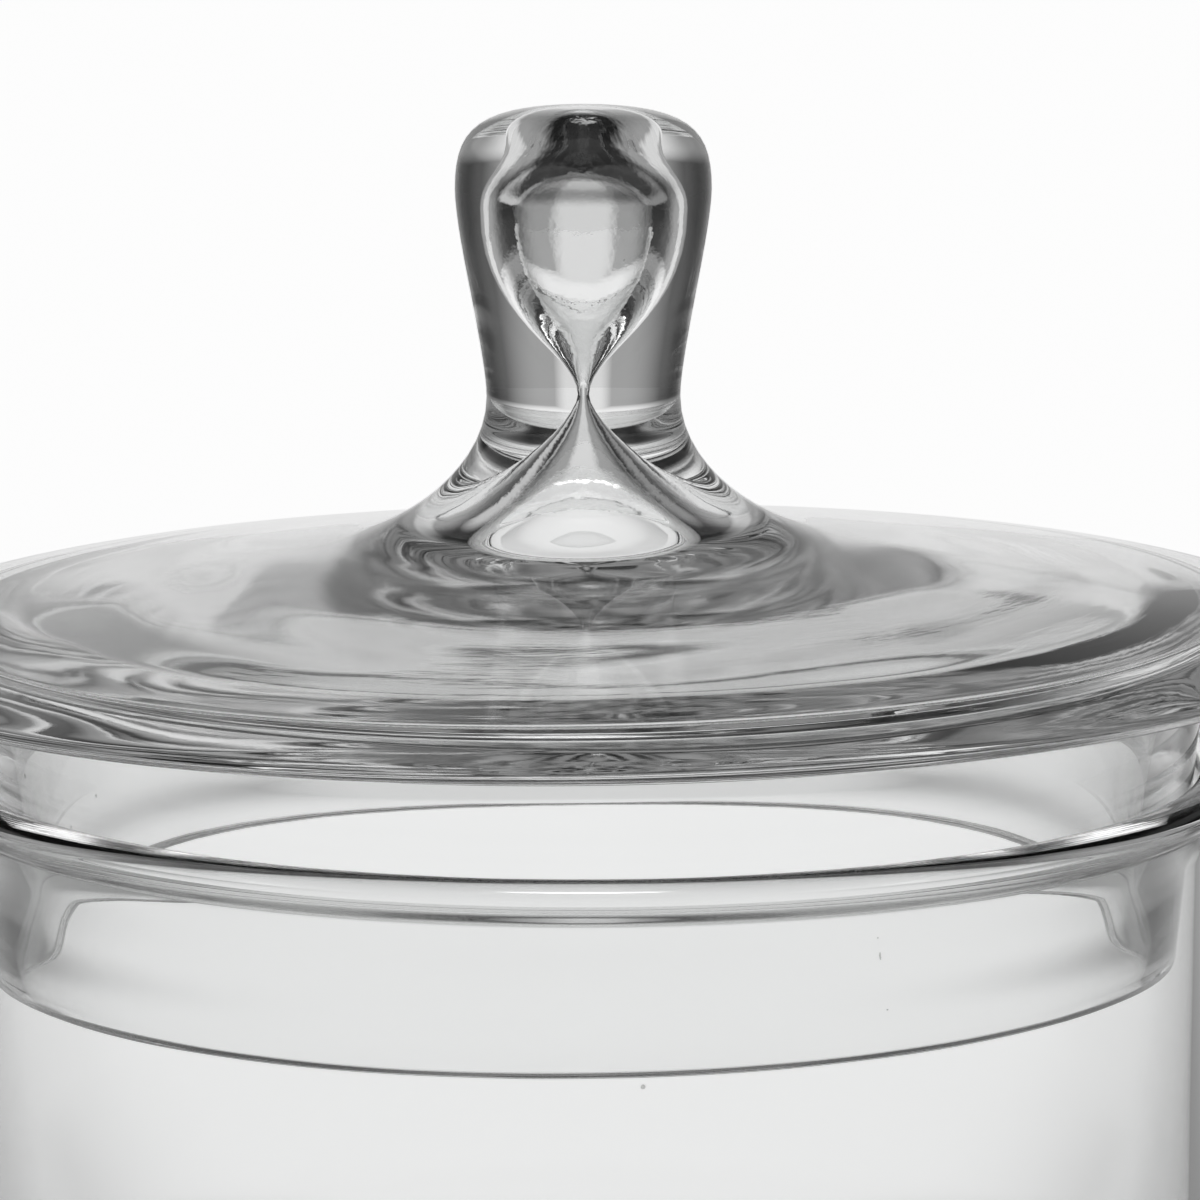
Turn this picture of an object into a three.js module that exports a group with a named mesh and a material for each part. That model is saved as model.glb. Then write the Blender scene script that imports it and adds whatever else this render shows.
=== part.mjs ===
// A clear blown-glass bowl with straight sides, and its blown-glass lid: a tapered collar that drops
// inside the rim, a low dome with a rolled edge, and a knob with a teardrop bubble in it.
// Millimetres, +Z up, the ground foot of the bowl on z = 0.

import * as THREE from 'three';

// Bowl
const bowlHeight = 104; // foot to the top of the rim
const bowlRadius = 76.6; // outside of the straight wall
const wallThickness = 3.8;
const cornerRadius = 30; // outside of the turn from the wall into the base
const baseThickness = 7;
const footWidth = 7; // ground ring that the bowl stands on
const puntRise = 2.4; // hollow under the middle of the base
const beadReach = 2.2; // how far the rim bead stands out from the wall
const beadHeight = 4.3;
const rimRound = 2.5; // depth of the rounding on the inside of the rim

// Lid: heights are above the top of the rim, depths below it
const seatGap = 0.3; // between the collar and the rim that it wedges into
const collarDepth = 22.8;
const collarTaper = THREE.MathUtils.degToRad(5.1); // each side
const filletHeight = 9.2; // where the collar turns into the flange
const flangeReach = 13.4; // how far the lid stands out from the bowl's wall
const undersideReach = 11.5; // flat of the underside, in from the edge of the lid
const undersideHeight = 12.2;
const lipHeight = 13.4; // outermost point of the edge
const edgeRoll = 10; // width of the rolled-over edge of the dome
const edgeHeight = 17.2; // dome where the roll starts
const shoulderRadius = 30; // where the dome meets the flare of the knob
const shoulderHeight = 24.9;

// The hollow of the lid, a blown saucer that runs out into the flange
const cutThickness = 4.2; // collar wall at its cut lower end
const neckThickness = 5; // collar wall where the bore is narrowest
const neckDepth = 11;
const hipThickness = 4.2; // collar wall where the hollow turns outwards
const hipHeight = 10.2;
const flangeSolid = 12.8; // solid glass between the hollow and the edge of the lid
const hollowRoof = 3.2; // glass over the outer end of the hollow
const ceilingTurn = 11.7; // width of the curve from the ceiling to the outer end
const ceilingRoof = 4.2; // glass over the outer end of the ceiling
const ceilingFall = THREE.MathUtils.degToRad(8.2); // slope of the ceiling at its outer end
const throatRadius = 18.7; // where the hollow starts to climb into the knob
const throatRoof = 6;
const throatFall = THREE.MathUtils.degToRad(4.9); // slope of the ceiling at the throat

// Knob and the hourglass hollow inside it
const knobTop = 76.2;
const knobRadius = 15.1;
const knobWidest = 66.5;
const waistRadius = 11.45;
const waistHeight = 42;
const bubbleTop = 70.7;
const bubbleRadius = 8.1;
const bubbleWidest = 64.7;
const passageRadius = 0.5; // the hair-thin passage between the bubble and the hollow of the lid
const passageHeight = 43;

const aroundSegments = 64;
const curveSegments = 5;

// Half outline of the bowl, from the axis under the base round to the axis on its floor.
function bowlOutline() {
  const innerRadius = bowlRadius - wallThickness;
  const footRadius = bowlRadius - cornerRadius;
  const footInner = footRadius - footWidth;
  const beadRadius = bowlRadius + beadReach;
  const beadFoot = bowlHeight - beadHeight;
  const beadMiddle = bowlHeight - beadHeight / 2;
  const rimTopRadius = (innerRadius + beadRadius) / 2;
  const insideCorner = cornerRadius - wallThickness;

  const path = new THREE.Path();
  path.moveTo(0, puntRise);
  path.bezierCurveTo(footInner / 2, puntRise, footInner * 0.8, puntRise / 2, footInner, 0);
  path.lineTo(footRadius, 0);
  path.absarc(footRadius, cornerRadius, cornerRadius, -Math.PI / 2, 0, false);
  path.lineTo(bowlRadius, beadFoot);
  path.bezierCurveTo(
    bowlRadius + beadReach / 2, beadFoot,
    beadRadius, (beadFoot + beadMiddle) / 2,
    beadRadius, beadMiddle);
  path.bezierCurveTo(
    beadRadius, (beadMiddle + bowlHeight) / 2,
    (rimTopRadius + beadRadius) / 2, bowlHeight,
    rimTopRadius, bowlHeight);
  path.bezierCurveTo(
    (rimTopRadius + innerRadius) / 2, bowlHeight,
    innerRadius, bowlHeight - rimRound / 2,
    innerRadius, bowlHeight - rimRound);
  path.lineTo(innerRadius, baseThickness + insideCorner);
  path.absarc(footRadius, baseThickness + insideCorner, insideCorner, 0, -Math.PI / 2, true);
  path.lineTo(0, baseThickness);
  return path.getPoints(curveSegments);
}

// Half outline of the lid, from the top of the bubble down through the hollow, round the collar
// and the flange, and over the dome to the top of the knob. Height 0 is the top of the bowl's rim.
function lidOutline() {
  const lidRadius = bowlRadius + flangeReach;
  const rollStart = lidRadius - edgeRoll;
  const domeSlope = (shoulderHeight - edgeHeight) / (rollStart - shoulderRadius);
  const domeAt = (radius) => shoulderHeight - (radius - shoulderRadius) * domeSlope;
  const seatRadius = bowlRadius - wallThickness - seatGap;
  const collarLean = Math.tan(collarTaper);
  const collarAt = (height) => seatRadius + (height + rimRound) * collarLean;
  const collarFoot = collarAt(-collarDepth);
  const boreNeck = collarAt(-neckDepth) - neckThickness;
  const filletRadius = collarAt(filletHeight);
  const undersideRadius = lidRadius - undersideReach;

  const hipRadius = collarAt(hipHeight) - hipThickness;
  const hollowRadius = lidRadius - flangeSolid;
  const hollowHeight = domeAt(hollowRadius) - hollowRoof;
  const ceilingRadius = hollowRadius - ceilingTurn;
  const ceilingHeight = domeAt(ceilingRadius) - ceilingRoof;
  const throatHeight = domeAt(throatRadius) - throatRoof;
  const ceilingSpan = ceilingRadius - throatRadius;

  const tear = bubbleWidest - passageHeight;
  const knobBody = knobWidest - waistHeight;
  const flareRun = shoulderRadius - waistRadius;
  const flareRise = waistHeight - shoulderHeight;
  const hipRun = hollowRadius - hipRadius;
  const hipRise = hollowHeight - hipHeight;
  const boreRise = hipHeight + neckDepth;
  const filletRun = undersideRadius - filletRadius;
  const filletRise = undersideHeight - filletHeight;

  // The shares in the curves below set how full each one is between its two ends.
  const path = new THREE.Path();
  path.moveTo(0, bubbleTop);
  path.bezierCurveTo(
    bubbleRadius * 0.55, bubbleTop,
    bubbleRadius, bubbleWidest + (bubbleTop - bubbleWidest) * 0.55,
    bubbleRadius, bubbleWidest);
  path.bezierCurveTo(
    bubbleRadius, bubbleWidest - tear * 0.58,
    passageRadius, passageHeight + tear * 0.25,
    passageRadius, passageHeight);
  path.bezierCurveTo(
    passageRadius, passageHeight - (passageHeight - throatHeight) * 0.2,
    throatRadius * 0.53, throatHeight + throatRadius * 0.47 * Math.tan(throatFall),
    throatRadius, throatHeight);
  path.bezierCurveTo(
    throatRadius + ceilingSpan / 3, throatHeight - (ceilingSpan / 3) * Math.tan(throatFall),
    ceilingRadius - ceilingSpan / 3, ceilingHeight + (ceilingSpan / 3) * Math.tan(ceilingFall),
    ceilingRadius, ceilingHeight);
  path.bezierCurveTo(
    ceilingRadius + ceilingTurn * 0.6, ceilingHeight - ceilingTurn * 0.6 * Math.tan(ceilingFall),
    hollowRadius, hollowHeight + hollowRoof * 0.5,
    hollowRadius, hollowHeight);
  path.bezierCurveTo(
    hollowRadius, hollowHeight - hipRise * 0.19,
    hipRadius + hipRun * 0.03, hipHeight + hipRise * 0.47,
    hipRadius, hipHeight);
  path.bezierCurveTo(
    hipRadius - boreRise * 0.19 * collarLean, hipHeight - boreRise * 0.19,
    boreNeck + boreRise * 0.24 * collarLean, boreRise * 0.24 - neckDepth,
    boreNeck, -neckDepth);
  path.lineTo(collarFoot - cutThickness, -collarDepth);
  path.lineTo(collarFoot, -collarDepth);
  path.lineTo(filletRadius, filletHeight);
  path.bezierCurveTo(
    filletRadius + filletRise * 0.5 * collarLean, filletHeight + filletRise * 0.5,
    undersideRadius - filletRun * 0.6, undersideHeight,
    undersideRadius, undersideHeight);
  path.bezierCurveTo(
    undersideRadius + undersideReach * 0.35, undersideHeight,
    lidRadius, undersideHeight,
    lidRadius, lipHeight);
  path.bezierCurveTo(
    lidRadius, lipHeight + (edgeHeight - lipHeight) * 0.42,
    rollStart + edgeRoll * 0.55, domeAt(rollStart + edgeRoll * 0.55),
    rollStart, edgeHeight);
  path.lineTo(shoulderRadius, shoulderHeight);
  path.bezierCurveTo(
    shoulderRadius - flareRun * 0.46, domeAt(shoulderRadius - flareRun * 0.46),
    waistRadius, waistHeight - flareRise * 0.5,
    waistRadius, waistHeight);
  path.bezierCurveTo(
    waistRadius, waistHeight + knobBody * 0.2,
    knobRadius, knobWidest - knobBody * 0.2,
    knobRadius, knobWidest);
  path.bezierCurveTo(
    knobRadius, knobWidest + (knobTop - knobWidest) * 0.74,
    knobRadius * 0.82, knobTop,
    0, knobTop);
  return path.getPoints(curveSegments);
}

// One closed body turned from a half outline that starts and ends on the axis.
function turnGlass(name, outline, color) {
  const geometry = new THREE.LatheGeometry(outline, aroundSegments);
  geometry.rotateX(Math.PI / 2);
  const glass = new THREE.MeshStandardMaterial({ color, roughness: 0.04, metalness: 0 });
  const mesh = new THREE.Mesh(geometry, glass);
  mesh.name = name;
  return mesh;
}

const bowl = turnGlass('bowl', bowlOutline(), 0xdfe3e2);
const lid = turnGlass('lid', lidOutline(), 0xd4d8d7);
lid.position.z = bowlHeight;

const liddedBowl = new THREE.Group();
liddedBowl.name = 'lidded_bowl';
liddedBowl.add(bowl, lid);

export default liddedBowl;
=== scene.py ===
import bpy
import math
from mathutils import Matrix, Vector


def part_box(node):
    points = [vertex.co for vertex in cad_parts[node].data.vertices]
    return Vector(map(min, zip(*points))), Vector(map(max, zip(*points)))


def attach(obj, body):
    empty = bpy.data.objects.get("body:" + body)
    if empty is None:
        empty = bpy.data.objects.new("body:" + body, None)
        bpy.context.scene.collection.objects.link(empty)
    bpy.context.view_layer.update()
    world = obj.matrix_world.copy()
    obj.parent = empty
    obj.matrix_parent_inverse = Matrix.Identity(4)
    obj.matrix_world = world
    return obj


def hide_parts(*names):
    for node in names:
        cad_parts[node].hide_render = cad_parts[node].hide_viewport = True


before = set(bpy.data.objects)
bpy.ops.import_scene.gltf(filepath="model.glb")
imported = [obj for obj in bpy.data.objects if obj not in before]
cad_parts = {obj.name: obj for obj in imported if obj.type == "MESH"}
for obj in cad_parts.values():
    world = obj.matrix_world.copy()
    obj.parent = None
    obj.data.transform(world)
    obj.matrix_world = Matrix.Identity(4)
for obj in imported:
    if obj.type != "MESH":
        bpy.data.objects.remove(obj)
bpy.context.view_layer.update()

mm = 0.001
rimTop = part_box("bowl")[1].z
arc = 0.5523          # handle length of a quarter circle, as a share of its radius


# Node sockets that can be used in sums
class Wire:
    def __init__(self, tree, socket):
        self.tree = tree
        self.socket = socket

    def join(self, operation, first, second=None):
        node = self.tree.nodes.new("ShaderNodeMath")
        node.operation = operation
        for slot, value in zip(node.inputs, (first, second)):
            if isinstance(value, Wire):
                self.tree.links.new(value.socket, slot)
            elif value is not None:
                slot.default_value = value
        return Wire(self.tree, node.outputs[0])

    def __add__(self, other): return self.join("ADD", self, other)
    def __radd__(self, other): return self.join("ADD", other, self)
    def __sub__(self, other): return self.join("SUBTRACT", self, other)
    def __rsub__(self, other): return self.join("SUBTRACT", other, self)
    def __mul__(self, other): return self.join("MULTIPLY", self, other)
    def __rmul__(self, other): return self.join("MULTIPLY", other, self)
    def __truediv__(self, other): return self.join("DIVIDE", self, other)
    def __pow__(self, other): return self.join("POWER", self, other)
    def __abs__(self): return self.join("ABSOLUTE", self)
    def most(self, other): return self.join("MAXIMUM", self, other)
    def over(self, other): return self.join("GREATER_THAN", self, other)
    def under(self, other): return self.join("LESS_THAN", self, other)


class Nodes:
    def __init__(self, owner):
        owner.use_nodes = True
        self.tree = owner.node_tree
        self.tree.nodes.clear()

    def add(self, kind, settings=None, output=0, **sockets):
        node = self.tree.nodes.new("ShaderNode" + kind)
        for name, value in (settings or {}).items():
            setattr(node, name, value)
        for name, value in sockets.items():
            slot = node.inputs[int(name[1:])] if name[1:].isdigit() else node.inputs[name.replace("_", " ")]
            if isinstance(value, Wire):
                self.tree.links.new(value.socket, slot)
            else:
                slot.default_value = value
        return Wire(self.tree, node.outputs[output]) if len(node.outputs) else None

    def out(self, wire, name):
        return Wire(self.tree, wire.socket.node.outputs[name])

    def split(self, vector):
        parts = self.add("SeparateXYZ", Vector=vector)
        return [self.out(parts, axis) for axis in "XYZ"]

    def range(self, value, low, high, start=0.0, end=1.0):
        return self.add("MapRange", {"interpolation_type": "SMOOTHSTEP"}, Value=value,
                        From_Min=low, From_Max=high, To_Min=start, To_Max=end)

    def noise(self, vector, scale, detail=2.0, roughness=0.5):
        return self.add("TexNoise", Vector=vector, Scale=scale, Detail=detail, Roughness=roughness)


# Modelling by hand
def clearSelection():
    if bpy.context.object and bpy.context.object.mode != "OBJECT":
        bpy.ops.object.mode_set(mode="OBJECT")
    bpy.ops.object.select_all(action="DESELECT")


def choose(piece):
    clearSelection()
    piece.select_set(True)
    bpy.context.view_layer.objects.active = piece


def turnOutline(name, knots, around, fineness, spans):
    # knots: (radius, height, handle in, handle out) in mm, handles as offsets
    # spans: vertex groups, each from one knot to another
    clearSelection()
    bpy.ops.curve.primitive_bezier_curve_add(radius=1, location=(0, 0, 0))
    profile = bpy.context.object
    profile.name = name
    profile.data.dimensions = "3D"
    profile.data.resolution_u = fineness
    points = profile.data.splines[0].bezier_points
    points.add(len(knots) - len(points))
    for point, (radius, height, handleIn, handleOut) in zip(points, knots):
        point.handle_left_type = point.handle_right_type = "FREE"
        place = Vector((radius, 0, height)) * mm
        point.co = place
        point.handle_left = place + Vector((handleIn[0], 0, handleIn[1])) * mm
        point.handle_right = place + Vector((handleOut[0], 0, handleOut[1])) * mm
    bpy.ops.object.convert(target="MESH")
    for group, (first, last) in spans.items():
        members = profile.vertex_groups.new(name=group)
        for index in range(first * fineness, last * fineness + 1):
            edge = min(index - first * fineness, last * fineness - index)
            members.add([index], min(1.0, edge / (fineness * 0.5)), "REPLACE")
    bpy.ops.object.mode_set(mode="EDIT")
    bpy.ops.mesh.select_all(action="SELECT")
    bpy.ops.mesh.spin(steps=around, angle=2 * math.pi, center=(0, 0, 0), axis=(0, 0, 1))
    bpy.ops.mesh.select_all(action="SELECT")
    bpy.ops.mesh.remove_doubles(threshold=0.002 * mm)
    bpy.ops.mesh.normals_make_consistent(inside=False)
    bpy.ops.object.mode_set(mode="OBJECT")
    bpy.ops.object.shade_smooth()
    print(name, "faces", len(profile.data.polygons))
    return profile


def wander(piece, group, size, depth):
    # hand-blown unevenness: lumps of a size, standing up to half a depth in or out, both in mm
    lumps = bpy.data.textures.new(piece.name + group, "CLOUDS")
    lumps.noise_scale = size * mm
    lumps.noise_depth = 1
    choose(piece)
    bpy.ops.object.modifier_add(type="DISPLACE")
    shape = piece.modifiers[-1]
    shape.texture = lumps
    shape.texture_coords = "LOCAL"
    shape.strength = depth * mm
    shape.mid_level = 0.5
    shape.vertex_group = group
    bpy.ops.object.modifier_apply(modifier=shape.name)


def ripple(piece, group, centre, spacing, depth, drift, size):
    # waves about a centre on the plan, wandering by a drift in radians over a size; lengths in mm
    waves = bpy.data.textures.new(piece.name + group, "WOOD")
    waves.wood_type = "RINGNOISE"
    waves.noise_basis_2 = "SIN"
    waves.turbulence = drift
    scale = spacing * mm * 20 / (2 * math.pi)
    waves.noise_scale = size * mm / scale
    clearSelection()
    bpy.ops.object.empty_add(location=(centre[0] * mm, centre[1] * mm, rimTop + centre[2] * mm))
    origin = bpy.context.object
    origin.scale = (scale, scale, scale)
    choose(piece)
    bpy.ops.object.modifier_add(type="DISPLACE")
    shape = piece.modifiers[-1]
    shape.texture = waves
    shape.texture_coords = "OBJECT"
    shape.texture_coords_object = origin
    shape.strength = depth * mm
    shape.mid_level = 0.5
    shape.vertex_group = group
    bpy.ops.object.modifier_apply(modifier=shape.name)
    choose(origin)
    bpy.ops.object.delete()


print("bowl")
bowlSizes = {
    "height": rimTop / mm,
    "radius": 76.6,
    "wall": 3.8,
    "corner": 30.0,
    "base": 7.0,
    "footWidth": 7.0,
    "punt": 2.4,
    "beadReach": 2.2,
    "beadHeight": 4.3,
    "rimRound": 2.5,
    "around": 320,
    "wallWander": 0.16,
    "rimWander": 0.14,
}


def bowlKnots(s):
    top, r, inner = s["height"], s["radius"], s["radius"] - s["wall"]
    foot = r - s["corner"]
    bead = r + s["beadReach"]
    beadFoot, beadMid = top - s["beadHeight"], top - s["beadHeight"] / 2
    crest = (inner + bead) / 2
    inside = s["corner"] - s["wall"]
    none = (0, 0)
    return [
        (0, s["punt"], none, (foot * 0.4, 0)),
        (foot - s["footWidth"], 0, (-6, 0.6), none),
        (foot, 0, none, (s["corner"] * arc, 0)),
        (r, s["corner"], (0, -s["corner"] * arc), (0, 12)),
        (r, beadFoot - 0.8, (0, -12), (0, 0.6)),
        (bead, beadMid, (0, -1.2), (0, (top - beadMid) * arc)),
        (crest, top, ((bead - crest) * arc, 0), ((inner - crest) * arc, 0)),
        (inner, top - s["rimRound"], (0, s["rimRound"] * arc), (0, -12)),
        (inner, s["base"] + inside, (0, 12), (0, -inside * arc)),
        (foot, s["base"], (inside * arc, 0), (-foot / 3, 0)),
        (0, s["base"], (foot / 3, 0), none),
    ]


bowl = turnOutline("bowlGlass", bowlKnots(bowlSizes), bowlSizes["around"], 16,
                   {"wall": (7, 10), "rim": (4, 7)})
wander(bowl, "wall", 46, bowlSizes["wallWander"])
wander(bowl, "rim", 24, bowlSizes["rimWander"])

print("lid")
lidSizes = {
    "seatGap": 0.3,
    "collarDepth": 22.8,
    "collarTaper": math.tan(math.radians(5.1)),
    "cutThickness": 4.2,
    "neckThickness": 5.0,
    "neckDepth": 11.0,
    "hipThickness": 4.2,
    "hipHeight": 10.2,
    "hollowRadius": 77.2,
    "hollowEdge": 14.4,
    # roof of the hollow from the throat outwards: (radius, height)
    "ceiling": [(18.7, 20.6), (30.0, 19.6), (42.0, 18.5), (54.0, 17.0), (65.5, 15.3)],
    "filletHeight": 9.2,
    "undersideRadius": 78.5,
    "undersideHeight": 12.2,
    "radius": 90.0,
    "lipHeight": 13.4,
    "edgeRadius": 80.0,
    "edgeHeight": 17.2,
    "shoulderRadius": 30.0,
    "shoulderHeight": 24.9,
    "waistRadius": 11.45,
    "waistHeight": 42.0,
    "knobRadius": 15.1,
    "knobWidest": 66.5,
    "knobTop": 76.2,
    "bubbleTop": 70.7,
    "bubbleRadius": 8.1,
    "bubbleWidest": 64.7,
    "neckRadius": 0.45,
    "neckHeight": 43.0,
    "climb": 4.6,
    "throatPull": 8.8,
    "tearTop": 0.58,
    "tearFoot": 0.25,
    "cutRound": 0.35,
    "around": 320,
    "lean": 0.0115,       # the skirt stands a little higher on the right, and its hollow more so
    "roofLean": 0.016,
}


def lidKnots(s, b):
    low, cut, none = -s["collarDepth"], s["cutRound"], (0, 0)
    seat = b["radius"] - b["wall"] - s["seatGap"]
    collar = lambda height: seat + (height + b["rimRound"]) * s["collarTaper"]
    bore = collar(low) - s["cutThickness"]
    dome = (s["shoulderHeight"] - s["edgeHeight"]) / (s["edgeRadius"] - s["shoulderRadius"])
    tear = s["bubbleWidest"] - s["neckHeight"]
    body = s["knobWidest"] - s["waistHeight"]
    crown = s["knobTop"] - s["knobWidest"]
    flare = s["shoulderRadius"] - s["waistRadius"]
    roof = s["ceiling"]
    ceiling = []
    for index, (radius, height) in enumerate(roof):
        before, after = roof[max(index - 1, 0)], roof[min(index + 1, len(roof) - 1)]
        slope = (after[1] - before[1]) / (after[0] - before[0])
        inward = (radius - before[0]) / 3 or s["throatPull"]
        outward = (after[0] - radius) / 3 or (s["hollowRadius"] - radius) * 0.6
        ceiling.append((radius, height, (-inward, -inward * slope), (outward, outward * slope)))
    lidPoints = [
        (0, s["bubbleTop"], none, (s["bubbleRadius"] * 0.55, 0)),
        (s["bubbleRadius"], s["bubbleWidest"], (0, (s["bubbleTop"] - s["bubbleWidest"]) * 0.55),
         (0, -tear * s["tearTop"])),
        (s["neckRadius"], s["neckHeight"], (0, tear * s["tearFoot"]), (0, -s["climb"])),
        *ceiling,
        (s["hollowRadius"], s["hollowEdge"], (0, 1.6), (0, -0.8)),
        (collar(s["hipHeight"]) - s["hipThickness"], s["hipHeight"], (0.2, 2), (-0.36, -4)),
        (collar(-s["neckDepth"]) - s["neckThickness"], -s["neckDepth"], (0.45, 5), (-0.45, -5)),
        (bore, low + cut, (0.4, 4.5), (0, -cut * arc)),
        (bore + cut, low, (-cut * arc, 0), (0.8, 0)),
        (collar(low) - cut, low, (-0.8, 0), (cut * arc, 0)),
        (collar(low), low + cut, (0, -cut * arc), (0.6, 6)),
        (collar(s["filletHeight"]), s["filletHeight"], (-0.6, -6), (0.15, 1.5)),
        (s["undersideRadius"], s["undersideHeight"], (-3.2, -0.1), (4, -0.2)),
        (s["radius"], s["lipHeight"], (-0.2, -0.8), (0.1, 0.9)),
        (s["edgeRadius"], s["edgeHeight"], (5, -5 * dome), (-16, 16 * dome)),
        (s["shoulderRadius"], s["shoulderHeight"], (16, -16 * dome), (-flare * 0.46, flare * 0.46 * dome)),
        (s["waistRadius"], s["waistHeight"], (0, -(s["waistHeight"] - s["shoulderHeight"]) / 2), (0, body * 0.2)),
        (s["knobRadius"], s["knobWidest"], (0, -body * 0.2), (0, crown * 0.74)),
        (0, s["knobTop"], (s["knobRadius"] * 0.82, 0), none),
    ]
    return [(radius, b["height"] + height, *handles) for radius, height, *handles in lidPoints]


lid = turnOutline("lidGlass", lidKnots(lidSizes, bowlSizes), lidSizes["around"], 14,
                  {"bubble": (0, 3), "roof": (3, 9), "cut": (11, 14), "dome": (17, 20), "knob": (20, 22)})
lidWaves = {              # size and depth of the unevenness, in mm
    "roof": (40, 0.3),
    "bubble": (7, 0.12),
    "dome": (38, 0.16),
    "knob": (14, 0.12),
    "cut": (14, 0.12),
}
roofRings = {"centre": (0, 0, 18), "spacing": 20, "depth": 0.10, "drift": 8.0, "size": 80}
wander(lid, "roof", *lidWaves["roof"])
ripple(lid, "roof", **roofRings)
for group in ("bubble", "dome", "knob", "cut"):
    wander(lid, group, *lidWaves[group])

leanCage = {"width": 200, "height": 104, "middle": 26, "below": 0.1}     # mm, and a share of the height


def lean(piece, slope, group=""):
    # tips what lies below a level of the cage, higher to the right
    c = leanCage
    clearSelection()
    bpy.ops.object.add(type="LATTICE", location=(0, 0, rimTop + c["middle"] * mm))
    cage = bpy.context.object
    cage.scale = (c["width"] * mm, c["width"] * mm, c["height"] * mm)
    cage.data.points_u = cage.data.points_v = 2
    cage.data.points_w = 5
    for axis in "uvw":
        setattr(cage.data, "interpolation_type_" + axis, "KEY_LINEAR")
    for point in cage.data.points:
        if point.co.z < c["below"]:
            point.co_deform.z += point.co.x * c["width"] * slope / c["height"]
    choose(piece)
    bpy.ops.object.modifier_add(type="LATTICE")
    shape = piece.modifiers[-1]
    shape.object = cage
    shape.vertex_group = group
    bpy.ops.object.modifier_apply(modifier=shape.name)
    choose(cage)
    bpy.ops.object.delete()


lean(lid, lidSizes["lean"])
lean(lid, lidSizes["roofLean"], "roof")

print("glass")


def blownGlass(name, tint, s, hollow=None):
    material = bpy.data.materials.new(name)
    n = Nodes(material)
    place = n.add("TexCoord", output=3)
    x, y, z = n.split(place)
    radius = (x * x + y * y) ** 0.5
    # turning marks: noise drawn out along the way round
    reach = radius + 0.1 * mm          # never nought on the axis
    along = n.add("CombineXYZ", X=x / reach * s["markLength"], Y=y / reach * s["markLength"],
                  Z=(radius + z) / mm * s["markDensity"])
    marks = n.noise(along, 1.0, 3.0, 0.6)
    patches = n.range(n.noise(place, s["patchScale"], 1.0), 0.42, 0.62)
    start = s["marksFrom"] * mm
    where = n.range(radius, start, start * 1.6) * patches * z.over(s["marksAbove"] * mm)
    lumps = n.noise(place, s["lumpScale"], 2.0)
    relief = marks * where * (s["markDepth"] * mm) + lumps * (s["lumpDepth"] * mm)
    specks = n.add("TexVoronoi", {"distance": "EUCLIDEAN"}, Vector=place, Scale=s["speckScale"])
    dust = n.range(specks, *s["speckSize"])
    color = n.add("Mix", {"data_type": "RGBA"}, output=2, _0=dust, _6=s["speckColor"], _7=tint)
    haze = n.range(n.noise(along, 0.6, 2.0), 0.45, 0.75, 0.0, s["haze"]) * where
    if hollow:
        # the inside was never touched by a tool: crinkled in the bubble, misted under the roof
        bubble = radius.under(hollow["bubbleWithin"] * mm) * z.under(rimTop + hollow["bubbleBelow"] * mm)
        relief = relief + n.noise(place, hollow["crinkleScale"], 3.0, 0.6) * bubble * (hollow["crinkleDepth"] * mm)
        level = rimTop + hollow["roofAt"] * mm - radius * hollow["roofFall"]
        roof = z.under(level) * z.over(rimTop + hollow["roofAbove"] * mm)
        inner, outer = hollow["mistFrom"], hollow["mistThins"]
        mist = n.range(radius, outer[0] * mm, outer[1] * mm, hollow["mist"], hollow["thinMist"])
        haze = haze + roof * n.range(radius, inner[0] * mm, inner[1] * mm) * mist
    skin = n.add("Bump", Strength=1.0, Distance=1.0, Height=relief)
    shader = n.add("BsdfPrincipled", Base_Color=color, Roughness=haze, IOR=1.5, Transmission_Weight=1.0, Normal=skin)
    n.add("OutputMaterial", Surface=shader)
    return material


bowlFinish = {
    "markLength": 3.0, "markDensity": 0.5, "markDepth": 0.0010, "marksFrom": 10, "marksAbove": 0, "patchScale": 38.0,
    "lumpScale": 90.0, "lumpDepth": 0.002, "haze": 0.02,
    "speckScale": 55.0, "speckSize": (0.012, 0.02), "speckColor": (0.35, 0.35, 0.34, 1),
}
lidFinish = {
    "markLength": 3.5, "markDensity": 0.55, "markDepth": 0.014, "marksFrom": 30, "marksAbove": 116, "patchScale": 38.0,
    "lumpScale": 320.0, "lumpDepth": 0.001, "haze": 0.03,
    "speckScale": 60.0, "speckSize": (0.012, 0.02), "speckColor": (0.35, 0.35, 0.34, 1),
}
hollowFinish = {
    "bubbleWithin": 9.5, "bubbleBelow": 72.5, "crinkleScale": 420.0, "crinkleDepth": 0.05,
    "roofAt": 26.2, "roofFall": 0.135, "roofAbove": 13.0,
    "mist": 0.1, "thinMist": 0.03, "mistFrom": (17, 24), "mistThins": (29, 41),
}
bowl.data.materials.append(blownGlass("bowlGlass", (0.975, 0.978, 0.977, 1), bowlFinish))
lid.data.materials.append(blownGlass("lidGlass", (0.972, 0.975, 0.974, 1), lidFinish, hollowFinish))
for piece, node in ((bowl, "bowl"), (lid, "lid")):
    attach(piece, node)
    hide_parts(node)

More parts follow.
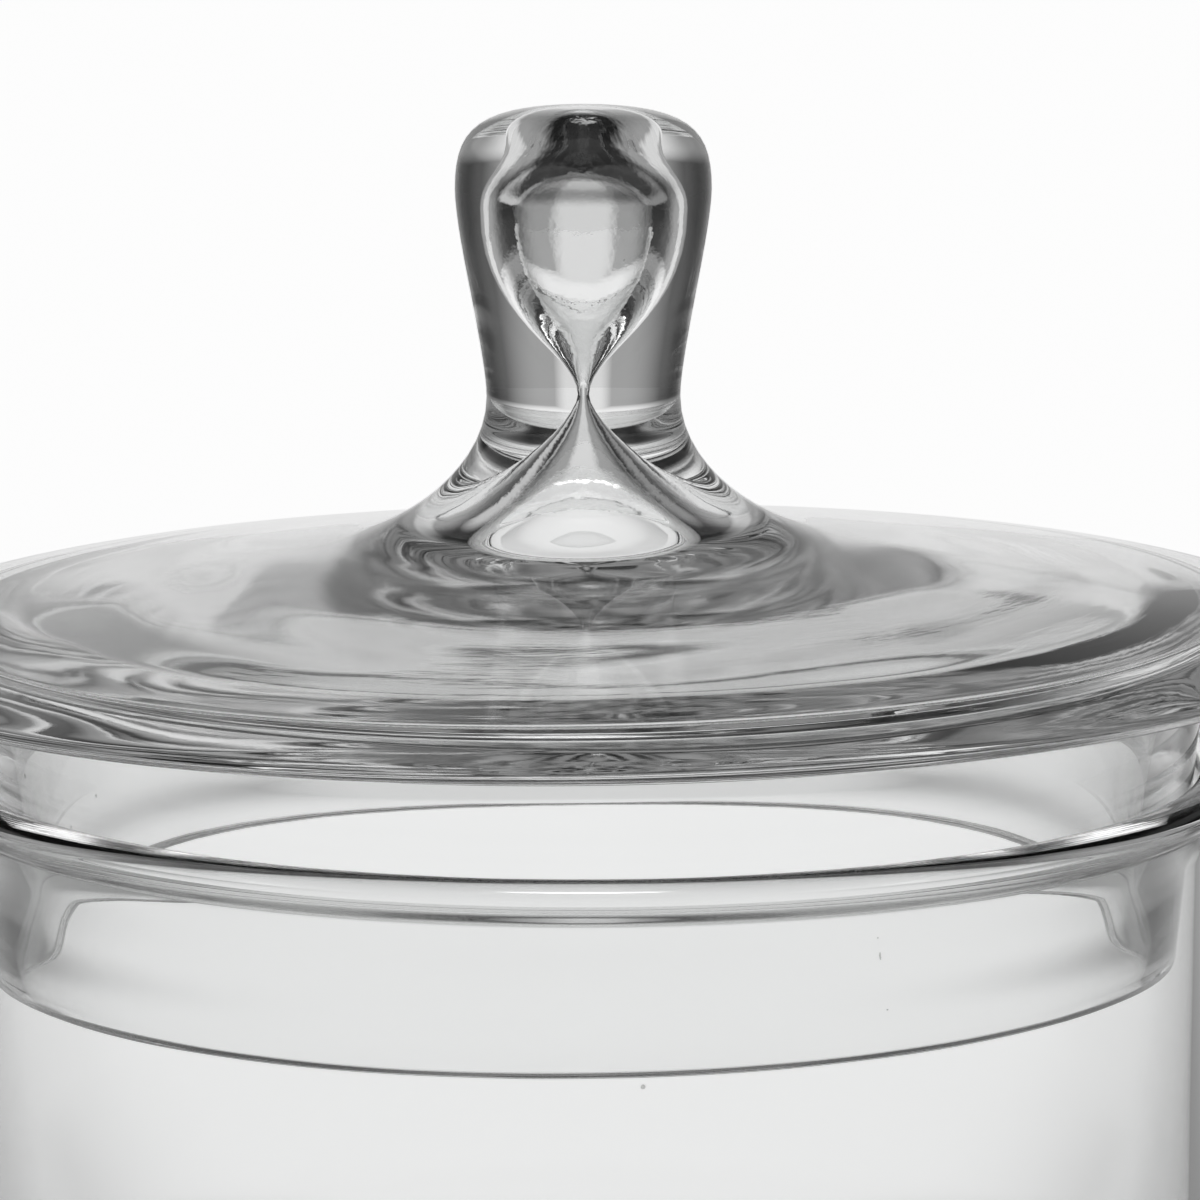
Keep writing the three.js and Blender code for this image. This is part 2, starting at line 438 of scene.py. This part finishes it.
print("stage")
studioLight = {
    # levels of light, 1 for white; pairs are where a level starts and ends to change
    # directions are in radians: round from the back, and up from the horizon
    "rest": 0.1,                   # walls of the dark room: at the back, at the sides and behind the camera
    "dark": 0.035,
    "front": 0.27,
    "darkRound": (0.65, 0.95),
    "frontRound": (1.7, 2.6),
    "dusk": 0.9,                   # how far the back wall darkens above the panel
    "duskUp": (0.2, 0.4),
    "duskRound": (0.5, 1.0),
    "panel": 0.72,                 # white panel at the back
    "panelRound": (0.1, 0.29),
    "panelUp": (0.1, 0.54),
    "wing": 0.5,                   # grey to each side of the panel
    "wingRound": (0.28, 0.88),
    "sideLeft": 0.55,              # soft boxes left and right
    "sideRight": 0.25,
    "sideFrom": (0.45, 0.75),
    "sideTo": (1.7, 2.2),
    "sideLow": (0.195, 0.315),
    "sideHigh": (0.39, 0.64),
    "top": 0.24,                   # ceiling light over the camera
    "topRound": (1.6, 2.3),
    "topUp": (0.48, 0.78),
    "tableOut": (0.43, 0.86),      # painted light on the white table: its lit part, in metres, and how far round it stays lit
    "tableRound": (0.28, 0.88),
    "tableFront": 0.27,
    "tableFar": 0.82,
    "tableGlow": 0.85,
    "tablePaint": 0.92,
    "shade": 0.06,                 # painted shadow of the object on the table, in metres
    "shadeOut": (0.1, 0.2),
    "gathered": 0.95,              # painted light gathered behind it, and painted light let through before it
    "gatheredRound": (0.22, 0.48),
    "letThrough": 0.18,
    "letRound": (1.0, 1.5),
    "clearTable": 0.97,            # white seen straight through thin walls and solid glass
    "clearNear": (0.15, 0.2),
    "clearUp": (0.15, 0.3),
    "wallsRound": (0.6, 1.0),
    "solidRound": (1.6, 2.0),
}


def spread(n, azimuth):
    s = studioLight
    panel = n.range(azimuth, *s["panelRound"], 1, 0)
    wing = n.range(azimuth, *s["wingRound"], s["wing"], 0)
    return panel.most(wing)


def darkRoom(n, azimuth):
    s = studioLight
    walls = n.range(azimuth, *s["darkRound"], s["rest"], s["dark"])
    return walls.most(n.range(azimuth, *s["frontRound"], 0, s["front"]))


def clearView(n, azimuth):
    # rays that only passed through glass, twice at a solid piece and four times at two thin walls
    path = n.add("LightPath")
    passes = n.out(path, "Transmission Depth")
    straight = (n.out(path, "Ray Depth") - passes).under(0.5)
    thin, thick = passes.over(3.5), passes.over(1.5)
    walls = n.range(azimuth, *studioLight["wallsRound"]) * thin
    solid = n.range(azimuth, *studioLight["solidRound"]) * thick
    return straight * walls.most(solid), straight * thin


s = studioLight
clearSelection()
bpy.ops.mesh.primitive_plane_add(size=9, location=(0, 0, 0))
floor = bpy.context.object
floor.name = "floor"
paper = bpy.data.materials.new("paper")
n = Nodes(paper)
x, y, z = n.split(n.add("TexCoord", output=3))
azimuth = abs(n.add("Math", {"operation": "ARCTAN2"}, _0=x, _1=y))
away = (x * x + y * y) ** 0.5
# painted light on the table: its glow and paint are brighter on a painted lit patch near the object, most behind it,
# and darker in front and far off
paintedLit = n.range(away, *s["tableOut"], 1, 0) * n.range(azimuth, *s["tableRound"], 1, s["tableFront"])
table = paintedLit.most(spread(n, azimuth) * s["tableFar"]).most(darkRoom(n, azimuth))
# painted shadow of the object on the table near it, lifted by painted light gathered behind it and let through before
# it
shade = n.range(azimuth, *s["gatheredRound"], s["gathered"], s["shade"])
shade = shade.most(n.range(azimuth, *s["letRound"], 0, s["letThrough"]))
outside = n.range(away, *s["shadeOut"])
table = table * (outside + shade * (1 - outside))
clear, through = clearView(n, azimuth)
table = table.most(clear.most(through * n.range(away, *s["clearNear"], 1, 0)) * s["clearTable"])
table = table.most(n.out(n.add("LightPath"), "Is Camera Ray"))
glow = n.add("Emission", Color=(1, 1, 1, 1), Strength=table * s["tableGlow"])
paint = table * s["tablePaint"]
matte = n.add("BsdfDiffuse", Color=n.add("CombineColor", Red=paint, Green=paint, Blue=paint))
n.add("OutputMaterial", Surface=n.add("AddShader", _0=matte, _1=glow))
floor.data.materials.append(paper)

world = bpy.data.worlds.new("studio")
bpy.context.scene.world = world
w = Nodes(world)
x, y, z = w.split(w.add("TexCoord"))
azimuth = abs(w.add("Math", {"operation": "ARCTAN2"}, _0=x, _1=y))
height = w.add("Math", {"operation": "ARCSINE"}, _0=z)
back = spread(w, azimuth) * w.range(height, *s["panelUp"], s["panel"], 0)
box = w.range(azimuth, *s["sideFrom"]) * w.range(azimuth, *s["sideTo"], 1, 0)
box = box * w.range(height, *s["sideLow"]) * w.range(height, *s["sideHigh"], 1, 0)
box = box * w.range(x, -0.4, 0.4, s["sideLeft"], s["sideRight"])
ceiling = w.range(height, *s["topUp"]) * w.range(azimuth, *s["topRound"]) * s["top"]
dusk = w.range(height, *s["duskUp"]) * w.range(azimuth, *s["duskRound"], 1, 0)
room = darkRoom(w, azimuth) * (1 - s["dusk"] * dusk)
clear, through = clearView(w, azimuth)
light = room.most(back).most(box).most(ceiling).most(clear * w.range(height, *s["clearUp"], 1, 0))
light = light.most(w.out(w.add("LightPath"), "Is Camera Ray"))
w.add("OutputWorld", Surface=w.add("Background", Color=(1, 1, 1, 1), Strength=light))

print("camera")
cameraSizes = {
    "away": 675.0,        # mm from the axis
    "above": 130.0,       # mm over the rim
    "aside": 1.95,        # mm right of the axis
    "pitch": 9.46,        # degrees down
    "lens": 172.9,
}
lens = bpy.data.cameras.new("camera")
lens.lens = cameraSizes["lens"]
lens.sensor_width = 36
lens.clip_start = 0.01
view = bpy.data.objects.new("camera", lens)
bpy.context.collection.objects.link(view)
view.location = (cameraSizes["aside"] * mm, -cameraSizes["away"] * mm, rimTop + cameraSizes["above"] * mm)
view.rotation_euler = (math.radians(90 - cameraSizes["pitch"]), 0, 0)
scene = bpy.context.scene
scene.camera = view
scene.view_settings.view_transform = "Standard"
scene.cycles.max_bounces = 32
scene.cycles.transmission_bounces = 32
scene.cycles.glossy_bounces = 24
